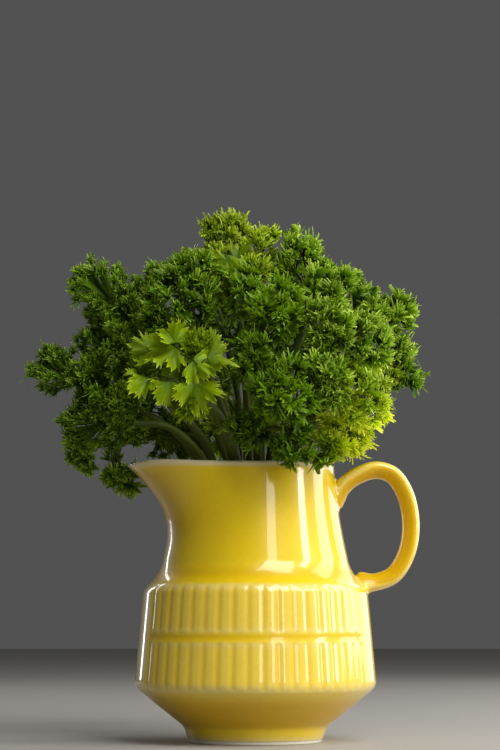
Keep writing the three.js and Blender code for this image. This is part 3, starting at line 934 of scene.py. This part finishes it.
# Sheets that end in curled fingers. Three columns make a finger: the slit before it and its two edges.
def fingerSheets(bases, ahead, up, lengths, halves, habit, rng):
    rules = sheetRules
    count = len(bases)
    side = np.cross(ahead, up)
    fingers = habit["fingers"]
    columns = 3 * fingers + 1
    order = np.minimum(np.arange(columns) // 3, fingers - 1)
    step = np.arange(columns) - 3 * order
    inSlit = ((step == 0) | (step == 3))[None, None, :] * 1.0
    v = np.array(habit["rows"])[None, :, None] * np.ones((count, 1, 1))
    most = rules["mostStray"]
    fingerWise = np.clip(rng.normal(0, 1, (3, count, 1, fingers)), -most, most)[..., order] * (1 - inSlit)
    slitFoot = habit["rows"][habit["slitRow"]]
    cut = slitFoot - rules["slitRagged"] * rng.uniform(0, 1, (count, 1, columns))
    tip = v + rules["tipRagged"] * fingerWise[0] * np.maximum(v - slitFoot, 0)
    reach = np.where(inSlit > 0, np.minimum(v, cut), tip)
    free = np.clip((v - slitFoot) / (1 - slitFoot), 0, 1) * (1 - inSlit)
    width = habit["fingerShare"] * (1 - habit["pinch"] * free**1.6) / fingers
    middle = (2 * order + 1)[None, None, :] / fingers - 1
    aside = np.where(inSlit > 0, (step - 1.5) / 1.5 / fingers, (step - 1.5) * 2 * width)
    s = middle + aside
    reach = reach * (1 - habit["roundness"] * s**2)
    lengths = lengths[:, None, None]
    foot = rules["footWidth"]
    across = s * halves[:, None, None] * (foot + (1 - foot) * v ** rules["widens"])
    across = across + fingerWise[1] * habit["stray"] * free * lengths
    lift = habit["cup"] * rng.uniform(*rules["cups"], (count, 1, 1)) * s**2 * v
    lift = lift + habit["curl"] * rng.uniform(*rules["curls"], (count, 1, 1)) * v**2
    lift = lift + habit["wave"] * v**2 * np.sin(s * habit["waves"] + rng.uniform(0, fullTurn, (count, 1, 1)))
    lift = lift + habit["bend"] * (0.5 + fingerWise[2]) * free**1.7
    lift = lift * lengths
    twist = rng.normal(0, rules["twist"], (count, 1, 1)) * v
    raised = lift + across * np.sin(twist)
    return spreadOut(bases, (ahead, reach * lengths), (side, across * np.cos(twist)), (up, raised)), reach


def uprightTo(ahead, face):
    return unit(face - ahead * (face * ahead).sum(-1, keepdims=True))


# Curls: lobes that open round each growth line.
def curlPoints(bases, growth, sizes, chances, each, habit, rng):
    count = len(bases) * each
    base = np.repeat(bases, each, 0)
    line = np.repeat(growth, each, 0)
    order = np.tile(np.arange(each), len(bases))
    start = np.repeat(rng.uniform(0, 2 * math.pi, len(bases)), each)
    turn = start + order * goldenTurn + rng.normal(0, 0.25, count)
    tilt = np.sqrt((order + 0.35) / each) * habit["opening"] * rng.uniform(0.8, 1.2, count)
    first, second = perpendicular(line)
    ring = first * np.cos(turn)[:, None] + second * np.sin(turn)[:, None]
    ahead = unit(line * np.cos(tilt)[:, None] + ring * np.sin(tilt)[:, None])
    up = uprightTo(ahead, line * 0.8 + np.array((0, -0.1, 0.3)) + rng.normal(0, 0.5, (count, 3)))
    sizes = np.repeat(sizes, each)
    lengths = habit["length"] * mm * sizes * rng.uniform(0.75, 1.15, count)
    halves = habit["halfWidth"] * mm * sizes * rng.uniform(0.8, 1.2, count)
    points, reach = fingerSheets(base, ahead, up, lengths, halves, habit, rng)
    chance = 0.4 * rng.random((count, 1, 1)) + 0.6 * np.repeat(chances, each)[:, None, None]
    return points, plainTones(points, chance, reach)


# Curls gathered into domes: the middle of each stands out, and its curls open away from a root below it.
def domedCurls(places, normals, shelter, fork, habit, rng):
    middles, nearest = gather(places, max(2, round(len(places) / habit["perDome"])), rng)
    lines = unit(np.array([normals[nearest == index].sum(0) for index in range(len(middles))]))
    roots = middles - lines * habit["domeDepth"] * mm
    off = np.linalg.norm(places - middles[nearest], axis=1) / (habit["domeReach"] * mm)
    rise = np.maximum(habit["domeRise"] * (1 - off**2), habit["domeLeast"]) * rng.uniform(0.7, 1.3, len(off))
    away = unit(places - roots[nearest]) + unit(places - fork) * habit["lean"] + np.array((0, 0, 0.2))
    growth = unit(away + rng.normal(0, habit["growthStray"], away.shape))
    depth = habit["sink"] + habit["shelterSink"] * shelter - rise
    bases = places - normals * depth[:, None] * mm
    sizes = (1 - habit["shelterShrink"] * shelter) * rng.uniform(0.85, 1.15, len(bases))
    share = habit["domeShade"]
    chances = (1 - share) * rng.random(len(bases)) + share * rng.random(len(middles))[nearest]
    # painted shade: sheltered places are darker
    return bases, growth, sizes, chances * (1 - habit["shelterShade"] * shelter)


# Flat fans for each tuft, turned to different sides round the line that the tuft opens along. Returns the
# ribbed sheets and where the curls along their rims grow.
def fanPoints(places, tufts, fork, habit, rng):
    middles, nearest = gather(places, tufts, rng)
    points, tones, spots, lines = [], [], [], []
    ribCount = habit["ribs"]
    for index, middle in enumerate(middles):
        radius = np.linalg.norm(places[nearest == index] - middle, axis=1).mean()
        rootDepth = habit["rootShare"] * radius
        out = unit(middle - fork)
        root = middle - out * rootDepth
        front = uprightTo(out[None], np.array(habit["faces"])[None])[0]
        side = np.cross(out, front)
        for fan in range(habit["fans"]):
            turn = fan * math.pi / habit["fans"] + rng.normal(0, 0.12)
            face = front * math.cos(turn) + side * math.sin(turn)
            across = np.cross(out, face)
            lean = rng.uniform(-0.25, 0.25)
            angles = np.linspace(-1, 1, ribCount) * habit["halfSpread"] + rng.normal(0, 0.06, ribCount)
            ahead = out * np.cos(angles)[:, None] + across * np.sin(angles)[:, None]
            ahead = unit(ahead + face * (lean + rng.normal(0, 0.10, (ribCount, 1))))
            inwards = rootDepth * np.cos(angles)
            reachOut = radius + habit["beyond"] * mm * rng.uniform(-1, 1.3, ribCount)
            lengths = inwards + np.sqrt(np.maximum(reachOut**2 - rootDepth**2 + inwards**2, 0))
            up = uprightTo(ahead, face + rng.normal(0, 0.2, (ribCount, 3)))
            bases = root + ahead * habit["rootGap"] * mm + rng.normal(0, 0.4 * mm, (ribCount, 3))
            lengths = lengths - habit["rimGap"] * mm
            halves = lengths * habit["halfShare"] * rng.uniform(0.85, 1.2, ribCount)
            sheet, reach = fingerSheets(bases, ahead, up, lengths, halves, habit, rng)
            points.append(sheet)
            tones.append(plainTones(sheet, rng.random((ribCount, 1, 1)), 0.45 + 0.4 * reach**1.5))
            for _ in range(habit["curlsPerRib"]):
                share = rng.uniform(*habit["curlShares"], (ribCount, 1))
                aside = rng.uniform(-habit["curlAside"], habit["curlAside"], (ribCount, 1))
                spots.append(bases + ahead * lengths[:, None] * share + across * aside * mm)
                line = ahead + up * rng.uniform(-0.6, 0.8, (ribCount, 1))
                lines.append(unit(line + rng.normal(0, 0.2, (ribCount, 3))))
    return [np.concatenate(part) for part in (points, tones, spots, lines)]


def rounds(place, count, power=1.0):
    return np.abs(np.sin(math.pi * count * place)) ** power


# Broad blades: lobes with deep notches between them, each parted again and toothed along its edge.
def bladePoints(bases, growth, facing, sizes, habit, rng):
    count = len(bases)
    up = uprightTo(growth, facing)
    side = np.cross(growth, up)
    columns = habit["teeth"] * 2 + 1

    def chance(low, high):
        return rng.uniform(low, high, (count, 1, 1))

    u = np.linspace(0, 1, columns)[None, None, :] + rng.normal(0, 0.25, (count, 1, columns)) / columns
    v = (np.linspace(0.02, 1, habit["rows"]) ** 0.85)[None, :, None]
    peak = (np.arange(columns) % 2)[None, None, :] * 1.0
    margin = (v > 0.99) * 1.0
    turn = (u - 0.5) * habit["spread"] * chance(0.92, 1.08)
    shift = chance(-0.02, 0.02) + 0.02 * np.sin(fullTurn * u + chance(0, fullTurn))
    place = np.clip(u + shift, 0, 1)
    lobe, part = rounds(place, habit["lobes"], 0.5), rounds(place, habit["parts"], 0.55)
    reach = (1 - habit["sideShort"] * np.abs(2 * u - 1) ** 2) * (1 - habit["notch"] * (1 - lobe) * v**1.4)
    reach = reach * (1 - habit["partNotch"] * (1 - part) * v**3)
    tooth = margin * peak * habit["tooth"] * rng.uniform(0.5, 1.4, (count, 1, columns))
    out = v * reach * (1 - habit["tooth"] * 0.5) + tooth
    lift = habit["cup"] * v**2 * chance(-0.7, 1.1)
    lift = lift + habit["arch"] * (lobe - 0.6) * v**1.5 * chance(0.3, 1.3)
    lift = lift + habit["wave"] * v**1.8 * np.sin(fullTurn * habit["waves"] * u + chance(0, fullTurn))
    lift = lift + habit["ruffle"] * v**3 * np.sin(fullTurn * habit["ruffles"] * u + chance(0, fullTurn))
    lift = lift + tooth * rng.normal(0.2, 0.7, (count, 1, columns))
    size = sizes[:, None, None] * mm
    forward = out * np.cos(turn)
    aside = out * np.sin(turn) * habit["narrow"]
    lift = lift - chance(0.05, 0.35) * forward * np.abs(forward)
    points = spreadOut(bases, (growth, forward * size), (side, aside * size), (up, lift * size))
    # painted shade at the blade's foot and a painted sheen on the tips of the teeth
    edge = 0.20 + 0.45 * v + 0.35 * margin * peak * np.ones((count, 1, 1))
    tones = plainTones(points, chance(0, 0.9), edge)
    vein = rounds(place + 0.5 / habit["parts"], habit["parts"])
    tones[..., 2] = np.clip(vein * 3 * (0.3 + v), 0, 1)
    return points, tones


# The blades stand in front of the nearest places on the head.
def bladesOf(blades, places, habit, rng):
    blades = np.array(blades)
    bases = np.insert(blades[:, :2], 1, 0, axis=1) * mm
    nearest = np.linalg.norm(places[:, None, [0, 2]] - bases[None][..., [0, 2]], axis=2).argmin(0)
    bases[:, 1] = places[nearest, 1] - habit["ahead"] * mm * rng.uniform(0.2, 2, len(bases))
    growth = np.insert(blades[:, 2:4], 1, rng.uniform(-0.45, 0.1, len(blades)), axis=1)
    facing = np.array((0.1, -1.0, 0.3)) + rng.normal(0, 0.22, (len(blades), 3))
    return bases, unit(growth), facing, blades[:, 4]


# Sorts places into groups, each round its own middle.
def gather(places, count, rng, passes=12):
    middles = places[rng.choice(len(places), count, replace=False)]
    for _ in range(passes):
        nearest = np.linalg.norm(places[:, None] - middles[None], axis=2).argmin(1)
        middles = np.array([places[nearest == i].mean(0) if (nearest == i).any() else middles[i]
                            for i in range(count)])
    return middles, nearest


def bentPaths(starts, controls, ends, steps):
    share = np.linspace(0, 1, steps)[None, :, None]
    bent = (1 - share) ** 2 * starts[:, None] + 2 * share * (1 - share) * controls[:, None]
    return bent + share**2 * ends[:, None]


# the tones put branches and twigs toward the dark, painted-shade end of the stalk colours
branching = {                   # radii in millimetres, from the fork outwards
    "leafletsPerBranch": 13,
    "branches": {"radii": (1.15, 0.55), "steps": 8, "sides": 7, "tone": 0.8},
    "twigs": {"radii": (0.42, 0.28), "steps": 4, "sides": 3, "tone": 0.9},
}


def branchMesh(name, kind, starts, controls, ends):
    look = branching[kind]
    radii = np.linspace(*look["radii"], look["steps"])[None].repeat(len(starts), 0) * mm
    points = tubePoints(bentPaths(starts, controls, ends, look["steps"]), radii, look["sides"])
    return patchMesh(name + "_" + kind, points, plainTones(points, 0.5, look["tone"]), closed=True)


# The side branches from the fork to each group of leaflets, and a twig to every leaflet.
def makeBranches(name, fork, ahead, bases, rng):
    groups = max(2, round(len(bases) / branching["leafletsPerBranch"]))
    middles, nearest = gather(bases, groups, rng)
    span = np.linalg.norm(middles - fork, axis=1, keepdims=True)
    forkEach = np.repeat(fork[None], groups, 0)
    twigStarts = middles[nearest]
    controls = (twigStarts + bases) / 2 + (twigStarts - fork) * 0.15
    return [branchMesh(name, "branches", forkEach, forkEach + ahead * span * 0.5, middles),
            branchMesh(name, "twigs", twigStarts, controls, bases)]


# Leaflets low on a stalk and its branches, above the jug's mouth.
def lowCurls(path, middles, count, rng):
    shares = np.linspace(0, lowRules["branchShare"], 8)[:, None, None]
    branches = path[-1] + (middles - path[-1]) * shares
    free = np.vstack([path, branches.reshape(-1, 3)])
    free = free[free[:, 2] > lowRules["above"] * mm]
    picks = rng.integers(0, len(free), count)
    away = unit(rng.normal(0, 1, (count, 3)) + np.array((0, 0, 0.3)))
    bases = free[picks] + away * rng.uniform(*lowRules["away"], (count, 1)) * mm
    return bases, away, rng.uniform(*lowRules["sizes"], count), lowRules["shade"] * rng.random(count)


def joinMeshes(name, meshes, slots):
    bm = bmesh.new()
    for mesh, slot in zip(meshes, slots):
        mesh.polygons.foreach_set("material_index", [slot] * len(mesh.polygons))
        bm.from_mesh(mesh)
        bpy.data.meshes.remove(mesh)
    return closeMesh(bm, bpy.data.meshes.new(name))


def makeHead(number, node, stalk):
    rng = np.random.default_rng(99 + number)
    crisp, under, fan, flat = (leafHabits[kind] for kind in ("crisp", "under", "fan", "flat"))
    fork, ahead = forks[stalk]
    tufts = tuftCounts.get(number, 2)
    spacing = crisp["backSpacing"] if number in backHeads else crisp["spacing"]
    places, normals = leafPlaces(node, spacing * mm, rng)
    places = places + np.array(nudges.get(number, (0, 0, 0))) * mm
    leaves, twigEnds = [], []

    def grow(points, tones, slitRow=None):
        leaves.append(patchMesh(node + "_leaves", points, tones, slitRow=slitRow))

    if number in flatBlades:
        bases, growth, facing, sizes = bladesOf(flatBlades[number], places, flat, rng)
        grow(*bladePoints(bases, growth, facing, sizes, flat, rng))
        twigEnds.append(bases)
    if number in fanHeads:
        points, tones, bases, growth = fanPoints(places, tufts, fork, fan, rng)
        grow(points, tones, fan["slitRow"])
        sizes, chances = rng.uniform(*fan["curlSize"], len(bases)), rng.random(len(bases))
        grow(*curlPoints(bases, growth, sizes, chances, fan["curlLobes"], crisp, rng), crisp["slitRow"])
        twigEnds.append(bases[::fan["perTwig"]])
    else:
        shelter = shelterOf(places, normals, rng)
        bases, growth, sizes, chances = domedCurls(places, normals, shelter, fork, crisp, rng)
        if len(flatBlades.get(number, ())) >= flat["sunkFrom"]:
            bases = bases - normals * flat["sink"] * mm
        sizes = sizes * spacing / crisp["spacing"]
        hidden = shelter >= crisp["sheltered"]
        for part, lobes in ((~hidden, crisp["lobes"]), (hidden, crisp["fewLobes"])):
            if part.any():
                chosen = (values[part] for values in (bases, growth, sizes, chances))
                points, tones = curlPoints(*chosen, lobes, crisp, rng)
                # painted shade for heads that lie in shadow
                tones[..., 0] *= shadedHeads.get(number, 1)
                grow(points, tones, crisp["slitRow"])
        feet = bases - growth * mm
        # the lobes beneath the curls are darkened as painted shade
        points, tones = curlPoints(feet, growth, sizes, under["shade"] * chances, under["sheets"], under, rng)
        tones[..., 0] *= under["tone"]
        tones[..., 2] = 1
        grow(points, tones, under["slitRow"])
        twigEnds.append(bases)
    if number in lowLeaflets:
        low = lowCurls(stalkPaths[stalk], gather(places, tufts, rng)[0], lowLeaflets[number], rng)
        points, tones = curlPoints(*low, crisp["fewLobes"], crisp, rng)
        # painted shade on the low leaflets
        tones[..., 0] *= lowRules["tone"]
        grow(points, tones, crisp["slitRow"])
        twigEnds.append(low[0])
    meshes = leaves + makeBranches(node, fork, ahead, np.concatenate(twigEnds), rng)
    mesh = joinMeshes(node + "_curled", meshes, [0] * len(leaves) + [1, 1])
    head = newObject(node + "_curled", mesh, leafMaterials[slotOf[node]], stalkGreen)
    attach(head, "root")
    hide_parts(node)
    return len(places), sum(len(face.vertices) - 2 for face in mesh.polygons)


made = [makeHead(*names) for names in zip(range(1, len(headNodes) + 1), headNodes, stalkNodes)]
placed, faces = np.sum(made, axis=0)
print("leaf heads made:", placed, "leaflets,", faces, "triangles")
